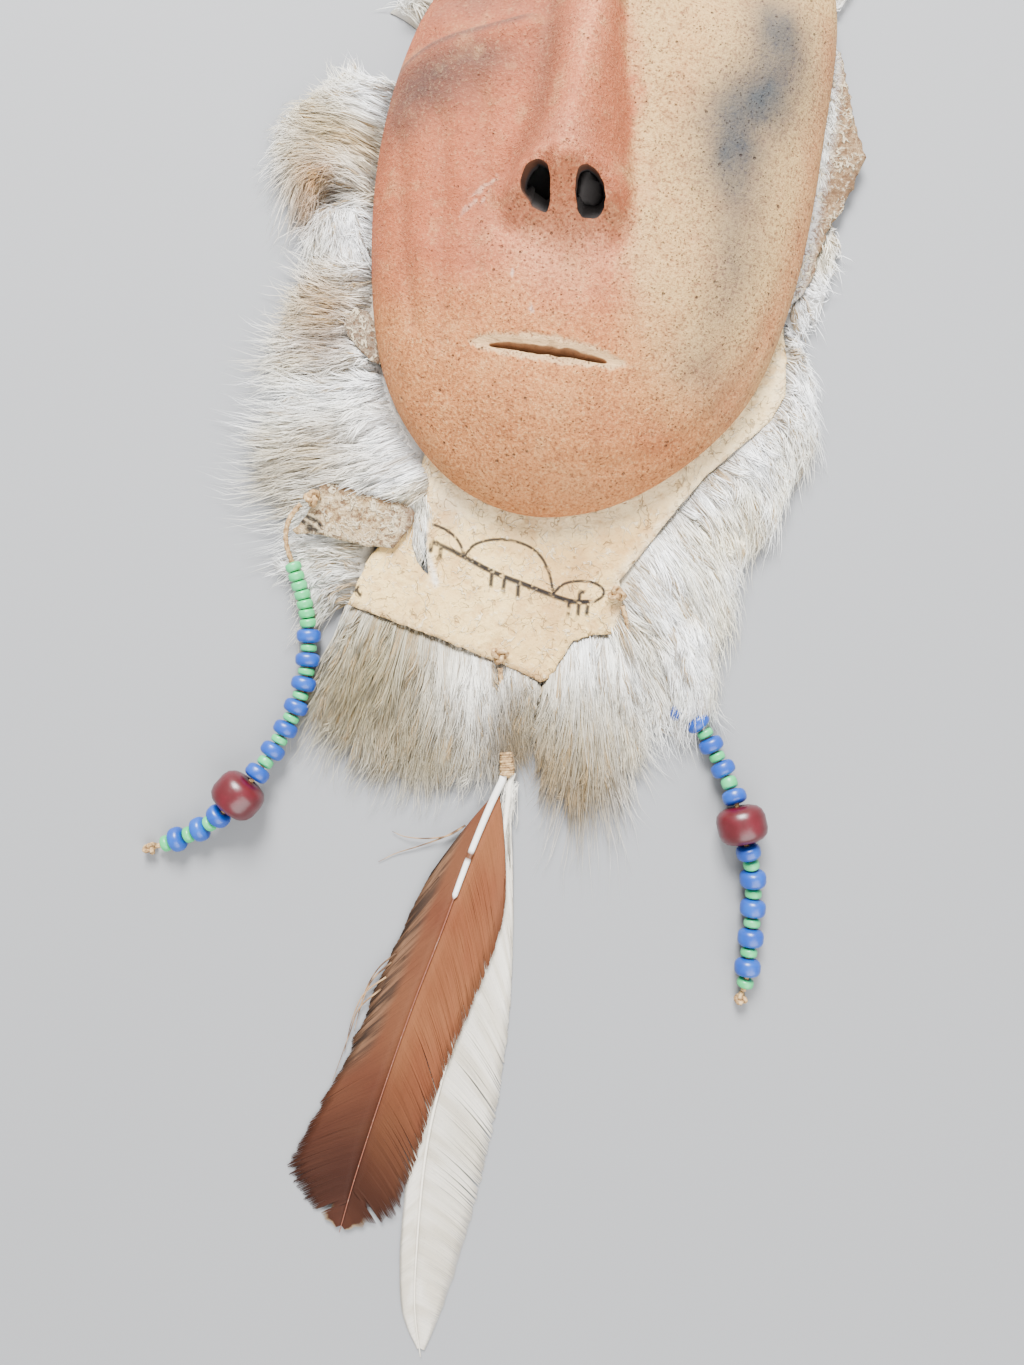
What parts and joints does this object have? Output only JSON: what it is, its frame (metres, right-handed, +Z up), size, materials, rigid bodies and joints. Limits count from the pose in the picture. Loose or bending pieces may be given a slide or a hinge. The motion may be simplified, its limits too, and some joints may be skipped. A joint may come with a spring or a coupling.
{
  "type": "clay wall mask",
  "caption": "Hollow clay face mask, nose and mouth cut through, framed with fur and hide; bead strings and a pair of feathers hang from its chin.",
  "frame": {"origin": "on the surface it lies on, under the middle of the box round mask, pelts and feathers, bead strings and thongs not counted", "axes": "+Y from the feathers up past the chin to the forehead, +X to the face's side with the grey clouds (the viewer's right), +Z up out of the face as it lies on its back"},
  "size_m": [0.2007, 0.5126, 0.0544],
  "materials": {
    "clay": "unglazed low-fired clay with smoke clouds",
    "hide": "tanned rabbit hide, flesh side out, with fur at its edges",
    "fur": "soft cream rabbit fur",
    "suede": "rough suede",
    "rusty_feather": "rusty red-brown feather vane",
    "white_feather": "off-white feather vane",
    "thong": "twisted narrow leather thong",
    "blue_glass": "opaque glossy glass",
    "green_glass": "opaque glossy glass",
    "red_glass": "opaque glossy glass"
  },
  "bodies": {
    "root": {"bead_tag": "suede", "cheek_pelt": "fur", "chin_pelt": "hide", "clay_mask": "clay", "crown_pelt": "fur", "feather_binding": "thong", "feather_knot": "thong", "feather_red": "rusty_feather", "feather_thong": "thong", "feather_white": "white_feather", "hide_knot": "thong", "left_blue_1": "blue_glass", "left_blue_10": "blue_glass", "left_blue_2": "blue_glass", "left_blue_3": "blue_glass", "left_blue_4": "blue_glass", "left_blue_5": "blue_glass", "left_blue_6": "blue_glass", "left_blue_7": "blue_glass", "left_blue_8": "blue_glass", "left_blue_9": "blue_glass", "left_end_knot": "thong", "left_green_1": "green_glass", "left_green_2": "green_glass", "left_green_3": "green_glass", "left_green_4": "green_glass", "left_green_5": "green_glass", "left_green_6": "green_glass", "left_green_7": "green_glass", "left_green_8": "green_glass", "left_green_9": "green_glass", "left_red_1": "red_glass", "left_thong": "thong", "left_top_greens": "green_glass", "right_blue_1": "blue_glass", "right_blue_10": "blue_glass", "right_blue_2": "blue_glass", "right_blue_3": "blue_glass", "right_blue_4": "blue_glass", "right_blue_5": "blue_glass", "right_blue_6": "blue_glass", "right_blue_7": "blue_glass", "right_blue_8": "blue_glass", "right_blue_9": "blue_glass", "right_end_knot": "thong", "right_green_1": "green_glass", "right_green_2": "green_glass", "right_green_3": "green_glass", "right_green_4": "green_glass", "right_green_5": "green_glass", "right_green_6": "green_glass", "right_green_7": "green_glass", "right_green_8": "green_glass", "right_green_9": "green_glass", "right_pelt": "suede", "right_red_1": "red_glass", "right_thong": "thong", "tag_knot": "thong"}
  },
  "joints": []
}
